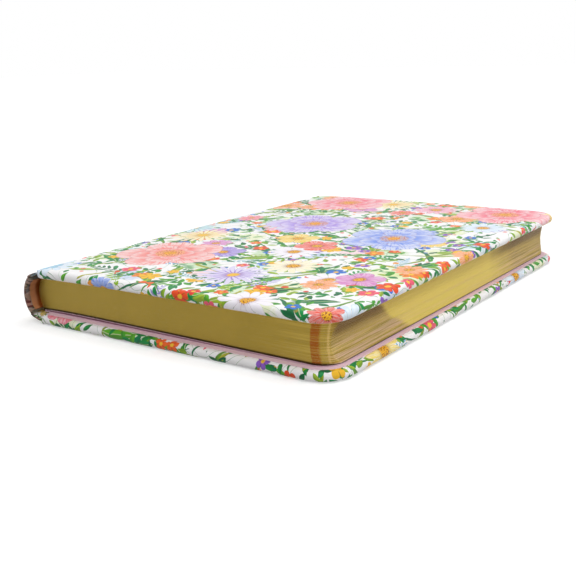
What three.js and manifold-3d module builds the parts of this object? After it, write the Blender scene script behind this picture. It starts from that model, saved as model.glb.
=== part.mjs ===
// Hardcover journal, case bound, lying closed on its back cover.
// Millimetres. X runs from the spine to the fore edge, Y from tail to head, Z up from the table.
// Inside the functions X is counted from the spine line, the outer end of the two joints.

import * as THREE from 'three';
import { mergeVertices } from 'three/addons/utils/BufferGeometryUtils.js';
import Module from 'manifold-3d';

const wasm = await Module();
wasm.setup();

// Covers
const COVER_WIDTH = 127;
const COVER_LENGTH = 178;
const BOOK_THICKNESS = 20.4;
const COVER_THICKNESS = 3.5;
const COVER_CORNER = 10.5;
const WRAP_THICKNESS = 0.35;
const TURN_IN_WIDTH = 15;
const ENDPAPER_THICKNESS = 0.15;
const ENDPAPER_MARGIN = 1.9;
const MULL_THICKNESS = 0.2;
const MULL_FLANGE_WIDTH = 25;
const MULL_END_MARGIN = 18;

// Joints, the flexible grooves between the spine and the boards
const JOINT_WIDTH = 7.1;
const GROOVE_DEPTH = 1.1;
const GROOVE_FLOOR = 1.3;
const GROOVE_CORNER = 0.6;
const GROOVE_RISE = 0.15;
const FOLD_START = 4.3;

// Spine panel, half of an ellipse seen from the tail
const SPINE_DEPTH = 5.5;
const SPINE_LINE = 3.7;
const SPINE_HALF_HEIGHT = 8.4;
const SPINE_HALF_ANGLE = THREE.MathUtils.degToRad(60);
const SPINE_EDGE_ANGLE = THREE.MathUtils.degToRad(83);
const SPINE_PANEL_THICKNESS = 2.2;

// Leaves
const FORE_EDGE_SQUARE = 3.5;
const END_SQUARE = 4.2;
const LEAF_CORNER = 7;
const SECTION_COUNT = 10;
const TURNING_SECTIONS = 4;
const BACK_LINE = 2.0;
const BACK_ROUNDING = 2.0;
const FORE_EDGE_HOLLOW = 1.8;
const GUTTER_END = 8;
const THREAD_DIAMETER = 0.4;
const THREAD_CLEARANCE = 0.1;
const SEWING_STATIONS = 4;
const SEWING_PITCH = 40;
const SEWING_BEND = 2;
const LINING_THICKNESS = 0.2;
const LINING_END_MARGIN = 6;

// The front cover sinks a little towards the spine, and the leaves under it with it
const SETTLE_DEPTH = 1.1;
const SETTLE_REACH = 22;

// The leaves stand clear of the back cover in a thin wedge, highest near the spine
const LIFT_HEIGHT = 1.1;
const LIFT_REACH = 10;

// Clearance of one glue line or one air line between sheets
const GLUE_LINE = 0.05;

// How far a cutting shape stands past what it cuts
const CUT_OVERLAP = 0.2;
const CUT_REACH = 1;
const CUT_ANGLE = THREE.MathUtils.degToRad(6);

// Mesh steps. Points crowd towards the spine, where the leaves bend.
const SIDE_STEPS = 10;
const SIDE_CROWDING = 1.7;
const CORNER_STEPS = 7;
const NOSE_STEPS = 8;
const SPINE_STEPS = 20;
const BACK_STEPS = 10;
const GROOVE_STEPS = 4;
const FOLD_STEPS = 6;
const END_STEPS = 4;
const THREAD_STEPS = 76;
const THREAD_ROWS = 6;

const MID_HEIGHT = BOOK_THICKNESS / 2;
const HALF_LENGTH = COVER_LENGTH / 2;
const WRAPPED_THICKNESS = COVER_THICKNESS - ENDPAPER_THICKNESS - GLUE_LINE;
const LEAF_HALF_LENGTH = HALF_LENGTH - END_SQUARE;
const LEAF_WIDTH = COVER_WIDTH - FORE_EDGE_SQUARE;
const FLYLEAF_BOTTOM = COVER_THICKNESS + GLUE_LINE;
const LEAVES_BOTTOM = FLYLEAF_BOTTOM + ENDPAPER_THICKNESS + GLUE_LINE;
const LEAVES_HALF_HEIGHT = MID_HEIGHT - LEAVES_BOTTOM;
const SECTION_PITCH = (2 * LEAVES_HALF_HEIGHT + GLUE_LINE) / SECTION_COUNT;
const SECTION_THICKNESS = SECTION_PITCH - GLUE_LINE;

const finishes = {
  print: { color: 0xe9e4e2, roughness: 0.3, metalness: 0 },
  board: { color: 0x9a8f80, roughness: 0.9, metalness: 0 },
  endpaper: { color: 0xdcb3c4, roughness: 0.6, metalness: 0 },
  gilt: { color: 0xb3943f, roughness: 0.4, metalness: 0.6 },
  cloth: { color: 0xe8e2d2, roughness: 0.95, metalness: 0 },
  kraft: { color: 0xb08d62, roughness: 0.85, metalness: 0 },
  thread: { color: 0xf0ead8, roughness: 0.8, metalness: 0 },
};

// The height at which a point comes to lie in the closed journal. The share that it sinks grows from the back
// cover to the front cover, and the share that it lifts falls.
function settled(x, z) {
  const fromSpine = Math.max(x, 0);
  const sink = SETTLE_DEPTH * Math.exp(-fromSpine / SETTLE_REACH);
  const lift = LIFT_HEIGHT * (1 - Math.exp(-fromSpine / LIFT_REACH)) * (1 - fromSpine / COVER_WIDTH);
  const above = z - COVER_THICKNESS;
  const share = THREE.MathUtils.clamp(above / (BOOK_THICKNESS - 2 * COVER_THICKNESS), 0, 1);
  const free = THREE.MathUtils.clamp(above / GLUE_LINE, 0, 1);
  return z - sink * share + lift * (1 - share) * free;
}

// The same height on the back cover's side or, mirrored, on the front cover's
function heightOn(side, z) {
  return side === 'front' ? BOOK_THICKNESS - z : z;
}

// The rounded back and the hollow fore edge of the leaves, at height z
function backAt(z) {
  return BACK_LINE + BACK_ROUNDING * ((z - MID_HEIGHT) / LEAVES_HALF_HEIGHT) ** 2;
}

function foreEdgeAt(z) {
  return LEAF_WIDTH - FORE_EDGE_HOLLOW * (1 - ((z - MID_HEIGHT) / LEAVES_HALF_HEIGHT) ** 2);
}

function closedGeometry(points, faces) {
  let volume = 0;
  const cross = new THREE.Vector3();
  for (const [a, b, c] of faces) {
    volume += cross.crossVectors(points[a], points[b]).dot(points[c]);
  }
  const turned = volume < 0 ? faces.map(([a, b, c]) => [a, c, b]) : faces;
  const geometry = new THREE.BufferGeometry();
  geometry.setAttribute('position', new THREE.Float32BufferAttribute(points.flatMap((p) => p.toArray()), 3));
  geometry.setIndex(turned.flat());
  geometry.computeVertexNormals();
  return geometry;
}

// Rings of equal length joined in a row. Point k of a ring faces point n - 1 - k, which closes the two ends.
function joinRings(rings) {
  const count = rings[0].length;
  const points = rings.flat().map((p) => new THREE.Vector3(p.x, p.y, settled(p.x, p.z)));
  const faces = [];
  for (let r = 0; r < rings.length - 1; r++) {
    for (let k = 0; k < count; k++) {
      const a = r * count + k;
      const b = r * count + (k + 1) % count;
      faces.push([a, b, b + count], [a, b + count, a + count]);
    }
  }
  const last = (rings.length - 1) * count;
  for (let k = 0; k < count / 2 - 1; k++) {
    const facing = count - 1 - k;
    faces.push([k, facing, facing - 1], [k, facing - 1, k + 1]);
    faces.push([last + k, last + facing - 1, last + facing], [last + k, last + k + 1, last + facing - 1]);
  }
  return closedGeometry(points, faces);
}

// Outline of a sheet or board with two rounded corners at the fore edge, at height z. Corners that reach past
// the fore edge are cut short by it.
function sheetOutline(x0, x1, halfLength, corner, z, reach = 0) {
  const side = [];
  const bend = x1 + reach - corner;
  for (let k = 0; k <= SIDE_STEPS; k++) {
    const share = (k / SIDE_STEPS) ** SIDE_CROWDING;
    side.push(new THREE.Vector3(x0 + share * (bend - x0), -halfLength, z));
  }
  const lastTurn = corner > 0 ? Math.asin(Math.min((x1 - bend) / corner, 1)) : 0;
  for (let k = 1; k <= CORNER_STEPS && corner > 0; k++) {
    const turn = lastTurn * k / CORNER_STEPS;
    const x = bend + corner * Math.sin(turn);
    side.push(new THREE.Vector3(x, -halfLength + corner * (1 - Math.cos(turn)), z));
  }
  const mirrored = side.map((p) => new THREE.Vector3(p.x, -p.y, p.z)).reverse();
  return side.concat(mirrored);
}

// A flat sheet between two heights
function flatSheet(x0, x1, halfLength, corner, z0, z1) {
  return joinRings([z0, z1].map((z) => sheetOutline(x0, x1, halfLength, corner, z)));
}

// A board with a full round nose along tail, fore edge and head
function nosedBoard(side, x0, inset, z0, z1) {
  const radius = (z1 - z0) / 2;
  const rings = [];
  for (let k = 0; k <= NOSE_STEPS; k++) {
    const turn = (k / NOSE_STEPS - 0.5) * Math.PI;
    const drawnIn = inset + radius * (1 - Math.cos(turn));
    const z = (z0 + z1) / 2 + radius * Math.sin(turn);
    const reach = COVER_WIDTH - drawnIn;
    rings.push(sheetOutline(x0, reach, HALF_LENGTH - drawnIn, COVER_CORNER - drawnIn, heightOn(side, z)));
  }
  return joinRings(rings);
}

// A line in the XZ plane with the normal on its left at each point
function lineThrough(points) {
  return points.map((p, i) => {
    const before = points[Math.max(i - 1, 0)];
    const after = points[Math.min(i + 1, points.length - 1)];
    const length = Math.hypot(after.x - before.x, after.z - before.z);
    return { x: p.x, z: p.z, nx: (before.z - after.z) / length, nz: (after.x - before.x) / length };
  });
}

function moved(line, depth) {
  return line.map((p) => ({ ...p, x: p.x + p.nx * depth, z: p.z + p.nz * depth }));
}

function onSide(side, line) {
  return line.map((p) => ({ ...p, z: heightOn(side, p.z), nz: side === 'front' ? -p.nz : p.nz }));
}

// A sheet bent along a middle line and swept from tail to head. endRound rounds its two ends, which keep a
// narrow flat.
function bentSheet(line, thickness, halfLength, endRound = 0) {
  const steps = endRound > 0 ? END_STEPS : 0;
  const flat = 0.15;
  const rows = [];
  for (let k = 0; k <= steps; k++) {
    const turn = steps > 0 ? (flat + (1 - flat) * k / steps) * Math.PI / 2 : Math.PI / 2;
    rows.push({ y: -halfLength + endRound * (1 - Math.cos(turn)), half: thickness / 2 * Math.sin(turn) });
  }
  const mirrored = rows.map(({ y, half }) => ({ y: -y, half })).reverse();
  const rings = rows.concat(mirrored).map(({ y, half }) => {
    const left = line.map((p) => new THREE.Vector3(p.x + p.nx * half, y, p.z + p.nz * half));
    const right = line.map((p) => new THREE.Vector3(p.x - p.nx * half, y, p.z - p.nz * half));
    return left.concat(right.reverse());
  });
  return joinRings(rings);
}

function toSolid(geometry) {
  const bare = geometry.clone();
  bare.deleteAttribute('normal');
  const merged = mergeVertices(bare, 1e-5);
  const vertProperties = new Float32Array(merged.attributes.position.array);
  const triVerts = new Uint32Array(merged.index.array);
  return new wasm.Manifold(new wasm.Mesh({ numProp: 3, vertProperties, triVerts }));
}

// The first geometry with the others cut away
function cut(body, ...tools) {
  const result = tools.reduce((solid, tool) => solid.subtract(toSolid(tool)), toSolid(body)).getMesh();
  const geometry = new THREE.BufferGeometry();
  geometry.setAttribute('position', new THREE.Float32BufferAttribute(result.vertProperties, 3));
  geometry.setIndex(Array.from(result.triVerts));
  geometry.computeVertexNormals();
  return geometry;
}

// Printed paper on the outside of a cover, turned in over three edges. The window is what it leaves free
// inside.
function coverWrap(side) {
  const outer = nosedBoard(side, JOINT_WIDTH, 0, 0, WRAPPED_THICKNESS);
  const inside = JOINT_WIDTH - CUT_REACH;
  const cavity = nosedBoard(side, inside, WRAP_THICKNESS, WRAP_THICKNESS, WRAPPED_THICKNESS - WRAP_THICKNESS);
  const low = WRAPPED_THICKNESS - WRAP_THICKNESS - CUT_OVERLAP;
  const high = WRAPPED_THICKNESS + CUT_OVERLAP;
  const width = COVER_WIDTH - TURN_IN_WIDTH;
  const length = HALF_LENGTH - TURN_IN_WIDTH;
  const window = flatSheet(inside, width, length, 0, heightOn(side, low), heightOn(side, high));
  return cut(outer, cavity, window);
}

function board(side) {
  const inset = WRAP_THICKNESS + GLUE_LINE;
  return nosedBoard(side, JOINT_WIDTH, inset, inset, WRAPPED_THICKNESS - inset);
}

// Endpaper half pasted over the turn-ins
function pastedown(side) {
  const z0 = heightOn(side, COVER_THICKNESS - ENDPAPER_THICKNESS);
  const z1 = heightOn(side, COVER_THICKNESS);
  const corner = COVER_CORNER - ENDPAPER_MARGIN;
  return flatSheet(JOINT_WIDTH, COVER_WIDTH - ENDPAPER_MARGIN, HALF_LENGTH - ENDPAPER_MARGIN, corner, z0, z1);
}

// The part of the mull that is pasted on the board, under the endpaper
function mullFlange(side) {
  const low = WRAPPED_THICKNESS - WRAP_THICKNESS;
  const z0 = heightOn(side, low);
  const z1 = heightOn(side, low + MULL_THICKNESS);
  return flatSheet(JOINT_WIDTH, JOINT_WIDTH + MULL_FLANGE_WIDTH, HALF_LENGTH - MULL_END_MARGIN, 0, z0, z1);
}

// Outer face of the spine panel, from the top down
function spineFace(fromAngle, toAngle, steps) {
  const points = [];
  for (let k = 0; k <= steps; k++) {
    const angle = fromAngle + (toAngle - fromAngle) * k / steps;
    const x = SPINE_LINE - SPINE_DEPTH * Math.cos(angle);
    points.push({ x, z: MID_HEIGHT + SPINE_HALF_HEIGHT * Math.sin(angle) });
  }
  return lineThrough(points);
}

// Printed paper over the spine card, turned in at tail and head
function spineWrap() {
  const middle = SPINE_PANEL_THICKNESS / 2;
  const face = spineFace(SPINE_HALF_ANGLE, -SPINE_HALF_ANGLE, SPINE_STEPS);
  const wideAngle = SPINE_HALF_ANGLE + CUT_ANGLE;
  const wideFace = spineFace(wideAngle, -wideAngle, SPINE_STEPS + 2);
  const outer = bentSheet(moved(face, middle), SPINE_PANEL_THICKNESS, HALF_LENGTH, middle);
  const space = SPINE_PANEL_THICKNESS - 2 * WRAP_THICKNESS;
  const cavity = bentSheet(moved(wideFace, middle), space, HALF_LENGTH - WRAP_THICKNESS, space / 2);
  const innerSkin = SPINE_PANEL_THICKNESS - WRAP_THICKNESS / 2;
  const window = bentSheet(moved(wideFace, innerSkin), 2 * WRAP_THICKNESS, HALF_LENGTH - TURN_IN_WIDTH);
  return cut(outer, cavity, window);
}

function spineCard() {
  const face = spineFace(SPINE_HALF_ANGLE, -SPINE_HALF_ANGLE, SPINE_STEPS);
  const thickness = SPINE_PANEL_THICKNESS - 2 * (WRAP_THICKNESS + GLUE_LINE);
  const halfLength = HALF_LENGTH - WRAP_THICKNESS - GLUE_LINE;
  return bentSheet(moved(face, SPINE_PANEL_THICKNESS / 2), thickness, halfLength, thickness / 2);
}

// Printed paper alone, from the spine panel through the groove and up to the board's face
function jointWrap(side) {
  const start = -SPINE_HALF_ANGLE - GLUE_LINE / SPINE_DEPTH;
  const half = WRAP_THICKNESS / 2;
  const curved = moved(spineFace(start, -SPINE_EDGE_ANGLE, GROOVE_STEPS), half);
  const edge = JOINT_WIDTH - GLUE_LINE - half;
  const floor = GROOVE_DEPTH + half;
  const points = curved.map((p) => new THREE.Vector3(p.x, 0, p.z));
  points.push(new THREE.Vector3(edge - GROOVE_CORNER - GROOVE_FLOOR, 0, floor + GROOVE_RISE));
  points.push(new THREE.Vector3(edge - GROOVE_CORNER, 0, floor));
  points.push(new THREE.Vector3(edge - GROOVE_CORNER / 8, 0, (floor + half) / 2));
  points.push(new THREE.Vector3(edge, 0, half));
  const curve = new THREE.CatmullRomCurve3(points, false, 'centripetal');
  const line = lineThrough(curve.getSpacedPoints(SPINE_STEPS));
  return bentSheet(onSide(side, line), WRAP_THICKNESS, HALF_LENGTH - WRAP_THICKNESS);
}

// The fold that joins the pasted half of an endpaper to its free half
function endpaperFold(side) {
  const half = ENDPAPER_THICKNESS / 2;
  const radius = half + GLUE_LINE / 2;
  const low = COVER_THICKNESS - half;
  const points = [{ x: JOINT_WIDTH - GLUE_LINE, z: low }];
  for (let k = 0; k <= FOLD_STEPS; k++) {
    const turn = k / FOLD_STEPS * Math.PI;
    points.push({ x: FOLD_START - radius * Math.sin(turn), z: low + radius * (1 - Math.cos(turn)) });
  }
  points.push({ x: GUTTER_END - GLUE_LINE, z: low + 2 * radius });
  return bentSheet(onSide(side, lineThrough(points)), ENDPAPER_THICKNESS, LEAF_HALF_LENGTH);
}

function flyleaf(side) {
  const z0 = heightOn(side, FLYLEAF_BOTTOM);
  const z1 = heightOn(side, FLYLEAF_BOTTOM + ENDPAPER_THICKNESS);
  return flatSheet(GUTTER_END, LEAF_WIDTH, LEAF_HALF_LENGTH, LEAF_CORNER, z0, z1);
}

// A section of folded leaves between two edges that may follow the height. Number 0 is the lowest.
// The corners are cut straight down through the hollow fore edge.
function section(number, startAt, endAt, corner) {
  const bottom = LEAVES_BOTTOM + number * SECTION_PITCH;
  const heights = [bottom, bottom + SECTION_THICKNESS / 2, bottom + SECTION_THICKNESS];
  return joinRings(heights.map((z) => {
    const end = endAt(z);
    const reach = corner > 0 ? LEAF_WIDTH - end : 0;
    return sheetOutline(startAt(z), end, LEAF_HALF_LENGTH, corner, z, reach);
  }));
}

// A point behind the rounded back at height z, at a distance square to it
function behindBack(z, distance) {
  const slope = 2 * BACK_ROUNDING * (z - MID_HEIGHT) / LEAVES_HALF_HEIGHT ** 2;
  const length = Math.hypot(1, slope);
  return { x: backAt(z) - distance / length, z: z + distance * slope / length };
}

// A sheet pasted on the rounded back
function backSheet(distance, thickness, halfHeight, halfLength) {
  const points = [];
  for (let k = 0; k <= BACK_STEPS; k++) {
    points.push(behindBack(MID_HEIGHT + halfHeight * (1 - 2 * k / BACK_STEPS), distance));
  }
  return bentSheet(lineThrough(points), thickness, halfLength);
}

// One thread that links the sections, up one sewing station and down the next
function sewingThread() {
  const points = [];
  const reach = LEAVES_HALF_HEIGHT - SECTION_PITCH / 2;
  const distance = THREAD_CLEARANCE + THREAD_DIAMETER / 2;
  function addPoint(y, height) {
    const { x, z } = behindBack(MID_HEIGHT + height, distance);
    points.push(new THREE.Vector3(x, y, settled(x, z)));
  }
  for (let station = 0; station < SEWING_STATIONS; station++) {
    const y = (station - (SEWING_STATIONS - 1) / 2) * SEWING_PITCH;
    const up = station % 2 === 0 ? 1 : -1;
    addPoint(y - 2 * SEWING_BEND, -up * reach);
    addPoint(y - SEWING_BEND, -up * reach);
    for (let k = 1; k < THREAD_ROWS; k++) {
      addPoint(y, up * reach * (2 * k / THREAD_ROWS - 1));
    }
    addPoint(y + SEWING_BEND, up * reach);
    addPoint(y + 2 * SEWING_BEND, up * reach);
  }
  const circle = new THREE.Shape().absarc(0, 0, THREAD_DIAMETER / 2, 0, 2 * Math.PI);
  const path = new THREE.CatmullRomCurve3(points, false, 'centripetal');
  const options = { steps: THREAD_STEPS, curveSegments: 4, bevelEnabled: false, extrudePath: path };
  return new THREE.ExtrudeGeometry(circle, options);
}

const journal = new THREE.Group();
journal.position.x = -(COVER_WIDTH + SPINE_LINE - SPINE_DEPTH) / 2;

function addPiece(name, geometry, finish) {
  const piece = new THREE.Mesh(geometry, new THREE.MeshStandardMaterial(finishes[finish]));
  piece.name = name;
  journal.add(piece);
}

for (const side of ['front', 'back']) {
  addPiece(`${side}_board`, board(side), 'board');
  addPiece(`${side}_wrap`, coverWrap(side), 'print');
  addPiece(`${side}_pastedown`, pastedown(side), 'endpaper');
  addPiece(`${side}_mull_flange`, mullFlange(side), 'cloth');
  addPiece(`${side}_joint_wrap`, jointWrap(side), 'print');
  addPiece(`${side}_endpaper_fold`, endpaperFold(side), 'endpaper');
  addPiece(`${side}_flyleaf`, flyleaf(side), 'endpaper');
}

addPiece('spine_wrap', spineWrap(), 'print');
addPiece('spine_card', spineCard(), 'board');

for (let number = 0; number < SECTION_COUNT; number++) {
  const label = String(number + 1).padStart(2, '0');
  if (number < SECTION_COUNT - TURNING_SECTIONS) {
    addPiece(`section_${label}`, section(number, backAt, foreEdgeAt, LEAF_CORNER), 'gilt');
  } else {
    addPiece(`section_${label}_fold`, section(number, backAt, () => GUTTER_END - GLUE_LINE, 0), 'gilt');
    addPiece(`section_${label}_leaves`, section(number, () => GUTTER_END, foreEdgeAt, LEAF_CORNER), 'gilt');
  }
}

const mullDistance = THREAD_DIAMETER + 2 * THREAD_CLEARANCE + MULL_THICKNESS / 2;
const mullHalfHeight = LEAVES_HALF_HEIGHT - SECTION_THICKNESS / 2;
const mull = backSheet(mullDistance, MULL_THICKNESS, mullHalfHeight, HALF_LENGTH - MULL_END_MARGIN);
addPiece('mull', mull, 'cloth');
const liningDistance = mullDistance + MULL_THICKNESS / 2 + GLUE_LINE + LINING_THICKNESS / 2;
const liningHalfHeight = LEAVES_HALF_HEIGHT - 2 * SECTION_THICKNESS;
const liningHalfLength = LEAF_HALF_LENGTH - LINING_END_MARGIN;
const lining = backSheet(liningDistance, LINING_THICKNESS, liningHalfHeight, liningHalfLength);
addPiece('spine_lining', lining, 'kraft');
addPiece('sewing_thread', sewingThread(), 'thread');

export default journal;
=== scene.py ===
import math

import bpy
import numpy as np
from mathutils import Matrix, Vector


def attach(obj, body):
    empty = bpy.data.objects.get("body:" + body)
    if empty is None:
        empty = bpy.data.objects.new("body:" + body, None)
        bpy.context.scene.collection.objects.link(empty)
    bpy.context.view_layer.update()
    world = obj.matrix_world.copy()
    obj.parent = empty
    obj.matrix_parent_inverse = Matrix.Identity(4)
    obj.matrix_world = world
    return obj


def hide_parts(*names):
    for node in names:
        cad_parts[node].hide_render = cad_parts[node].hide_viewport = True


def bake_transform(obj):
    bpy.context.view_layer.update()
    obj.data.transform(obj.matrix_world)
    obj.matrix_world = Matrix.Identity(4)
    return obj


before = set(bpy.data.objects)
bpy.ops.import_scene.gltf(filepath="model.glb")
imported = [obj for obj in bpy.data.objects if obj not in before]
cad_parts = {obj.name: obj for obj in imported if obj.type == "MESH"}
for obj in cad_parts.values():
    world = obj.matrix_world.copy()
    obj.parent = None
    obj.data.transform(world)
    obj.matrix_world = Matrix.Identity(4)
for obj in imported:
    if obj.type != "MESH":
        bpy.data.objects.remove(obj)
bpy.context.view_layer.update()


# Leaves: eighty leaves of cream paper, folded and sewn in ten sections of eight.
# Once pressed, the back is rounded, which hollows the fore edge, the corners are
# cut round, and tail, fore edge and head are gilded.

SPINE_LINE = -0.0626
BOOK_THICKNESS = 0.0204
MID_HEIGHT = BOOK_THICKNESS / 2
COVER_THICKNESS = 0.0035
SETTLE_DEPTH = 0.0011
SETTLE_REACH = 0.022
LIFT_HEIGHT = 0.0011
LIFT_REACH = 0.010
GLUE_LINE = 0.00005
COVER_WIDTH = 0.127

LEAF_WIDTH = 0.1235
LEAF_HALF_LENGTH = 0.0848
LEAF_CORNER = 0.007
LEAVES_BOTTOM = 0.00375
LEAVES_HALF_HEIGHT = MID_HEIGHT - LEAVES_BOTTOM
BACK_LINE = 0.002
BACK_ROUNDING = 0.002
FORE_EDGE_HOLLOW = 0.0018
GUTTER_START = 0.005
GUTTER_END = 0.008
SECTIONS = 10
FIRST_TURNING_SECTION = 7
SECTION_PITCH = 0.001295
LEAVES_IN_SECTION = 8
LEAF_PITCH = 0.000161
LEAF_GAP = 0.000003
LEAF_RAGGEDNESS = 0.00005
BACK_COLUMNS = (BACK_LINE, 0.0035)
GUTTER_COLUMNS = 9
LEAF_COLUMNS = (0.0095, 0.012, 0.016, 0.022, 0.03, 0.042, 0.06, 0.085)
LEAF_CORNER_STEPS = 20
SHARP_ANGLE = math.radians(40)


class Wire:
    """An output of a node. Sums written with it add Math nodes to its tree."""

    def __init__(self, nodes, socket):
        self.nodes = nodes
        self.socket = socket

    def other(self, output):
        return Wire(self.nodes, find_socket(self.socket.node.outputs, output))

    def __rsub__(self, value):
        return self.nodes.math("SUBTRACT", value, self)

    def __abs__(self):
        return self.nodes.math("ABSOLUTE", self)


for sign, operation in (("add", "ADD"), ("radd", "ADD"), ("sub", "SUBTRACT"), ("mul", "MULTIPLY"),
                        ("rmul", "MULTIPLY"), ("truediv", "DIVIDE"), ("pow", "POWER"),
                        ("gt", "GREATER_THAN"), ("lt", "LESS_THAN")):
    def sum_of(wire, value, operation=operation):
        return wire.nodes.math(operation, wire, value)
    setattr(Wire, f"__{sign}__", sum_of)


def find_socket(sockets, key):
    if isinstance(key, int):
        return sockets[key]
    for socket in sockets:
        if socket.identifier == key:
            return socket
    return next(s for s in sockets if s.name == key and s.enabled)


class Nodes:
    """A node tree, of a material or of Geometry Nodes."""

    def __init__(self, tree):
        self.tree = tree

    def add(self, kind, settings=None, sockets=None, output=0):
        node = self.tree.nodes.new(kind)
        for name, value in (settings or {}).items():
            if name == "stops":
                ramp = node.color_ramp
                while len(ramp.elements) < len(value):
                    ramp.elements.new(0.5)
                for element, (place, colour) in zip(ramp.elements, value):
                    element.position = place
                    element.color = colour
            elif name == "interpolation":
                node.color_ramp.interpolation = value
            else:
                setattr(node, name, value)
        for key, value in (sockets or {}).items():
            self.feed(node, key, value)
        return Wire(self, find_socket(node.outputs, output)) if node.outputs else node

    def feed(self, node, key, value):
        socket = find_socket(node.inputs, key)
        if isinstance(value, Wire):
            self.tree.links.new(value.socket, socket)
        else:
            socket.default_value = value

    def math(self, operation, *values):
        return self.add("ShaderNodeMath", {"operation": operation}, dict(enumerate(values)))

    def vector(self, operation, *values):
        return self.add("ShaderNodeVectorMath", {"operation": operation}, dict(enumerate(values)))

    def join(self, x, y, z=0.0):
        return self.add("ShaderNodeCombineXYZ", None, {0: x, 1: y, 2: z})

    def split(self, vector):
        x = self.add("ShaderNodeSeparateXYZ", None, {0: vector})
        return x, x.other(1), x.other(2)

    def clamp(self, value):
        return self.math("MINIMUM", self.math("MAXIMUM", value, 0.0), 1.0)

    def ease(self, value, start, end):
        """0 before start, 1 after end, smooth between. start may lie above end."""
        if start > end:
            return 1 - self.ease(value, end, start)
        sockets = {"Value": value, "From Min": start, "From Max": end}
        return self.add("ShaderNodeMapRange", {"interpolation_type": "SMOOTHSTEP"}, sockets)

    def mix(self, share, first, second, way="MIX"):
        """A mix of two colours, each a wire, a tuple or hexadecimal digits."""
        first, second = (colour(c) if isinstance(c, str) else c for c in (first, second))
        settings = {"data_type": "RGBA", "blend_type": way}
        sockets = {"Factor_Float": share, "A_Color": first, "B_Color": second}
        return self.add("ShaderNodeMix", settings, sockets, "Result_Color")

    def noise(self, vector, scale, detail=2.0, roughness=0.5, dimensions="3D"):
        sockets = {"Vector": vector, "Scale": scale, "Detail": detail, "Roughness": roughness}
        return self.add("ShaderNodeTexNoise", {"noise_dimensions": dimensions}, sockets, "Fac")


def colour(text):
    """A colour written as six hexadecimal digits, as linear light."""
    parts = [int(text[i:i + 2], 16) / 255 for i in (0, 2, 4)]
    light = [p / 12.92 if p <= 0.04045 else ((p + 0.055) / 1.055) ** 2.4 for p in parts]
    return (*light, 1.0)


WHITE = colour("ffffff")
BLACK = colour("000000")


class Finish(Nodes):
    """A material and its Principled shader."""

    def __init__(self, name):
        self.material = bpy.data.materials.new(name)
        self.material.use_nodes = True
        super().__init__(self.material.node_tree)
        self.shader = self.tree.nodes["Principled BSDF"]

    def set(self, **sockets):
        for name, value in sockets.items():
            self.feed(self.shader, name.replace("_", " ").title().replace("Ior", "IOR"), value)

    def object_place(self):
        return self.add("ShaderNodeTexCoord", None, None, "Object")

    def bump(self, height, distance, strength=1.0):
        sockets = {"Height": height, "Distance": distance, "Strength": strength}
        self.set(normal=self.add("ShaderNodeBump", None, sockets))


def fibrous(name, noise, tones, roughness, relief, strength=1.0):
    """A plain material of two tones with a fine relief. Gives its finish, place, noise and tone."""
    look = Finish(name)
    place = look.object_place()
    fibre = look.noise(place, *noise)
    tone = look.mix(fibre, *tones)
    look.set(base_color=tone, roughness=roughness)
    look.bump(fibre, relief, strength)
    return look, place, fibre, tone


def settled(x, z):
    """The height of a point in the closed journal: the front cover sinks a little towards the
    spine, and the leaves stand clear of the back cover in a thin wedge."""
    x = max(x, 0)
    share = min(max((z - COVER_THICKNESS) / (BOOK_THICKNESS - 2 * COVER_THICKNESS), 0), 1)
    free = min(max((z - COVER_THICKNESS) / GLUE_LINE, 0), 1)
    lift = LIFT_HEIGHT * (1 - math.exp(-x / LIFT_REACH)) * (1 - x / COVER_WIDTH)
    return z - SETTLE_DEPTH * math.exp(-x / SETTLE_REACH) * share + lift * (1 - share) * free


def new_object(name, data):
    made = bpy.data.objects.new(name, data)
    bpy.context.scene.collection.objects.link(made)
    return made


def smooth(mesh):
    mesh.shade_smooth()
    mesh.set_sharp_from_angle(angle=SHARP_ANGLE)


def new_piece(name, points, faces, material=None, sheet=None):
    """A closed mesh, its faces turned outwards, with x counted from the spine line."""
    mesh = bpy.data.meshes.new(name)
    corners = np.array(points, float) + (SPINE_LINE, 0, 0)
    volume = sum(
        np.dot(corners[f[0]], np.cross(corners[f[i]], corners[f[i + 1]]))
        for f in faces for i in range(1, len(f) - 1)
    )
    if volume < 0:
        faces = [f[::-1] for f in faces]
    mesh.from_pydata(corners.tolist(), [], faces)
    if sheet is not None:
        layer = mesh.uv_layers.new(name="sheet")
        for loop in mesh.loops:
            layer.data[loop.index].uv = sheet[loop.vertex_index]
    if material:
        mesh.materials.append(material)
    smooth(mesh)
    return new_object(name, mesh)


def new_tree(name, inputs):
    """A Geometry Nodes tree with named inputs, its input wires, and what a modifier calls them."""
    tree = bpy.data.node_groups.new(name, "GeometryNodeTree")
    nodes = Nodes(tree)
    kinds = {"Geometry": "Geometry", **inputs}
    sockets = {n: tree.interface.new_socket(name=n, in_out="INPUT", socket_type="NodeSocket" + k)
               for n, k in kinds.items()}
    tree.interface.new_socket(name="Geometry", in_out="OUTPUT", socket_type="NodeSocketGeometry")
    first = nodes.add("NodeGroupInput")
    wires = {n: first.other(s.identifier) for n, s in sockets.items()}
    return nodes, wires, {n: s.identifier for n, s in sockets.items()}


def end_tree(nodes, geometry, material):
    """Closes a tree with real geometry in one material."""
    real = nodes.add("GeometryNodeRealizeInstances", None, {0: geometry})
    painted = nodes.add("GeometryNodeSetMaterial", None, {"Geometry": real, "Material": material})
    nodes.add("NodeGroupOutput", None, {0: painted})


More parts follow.
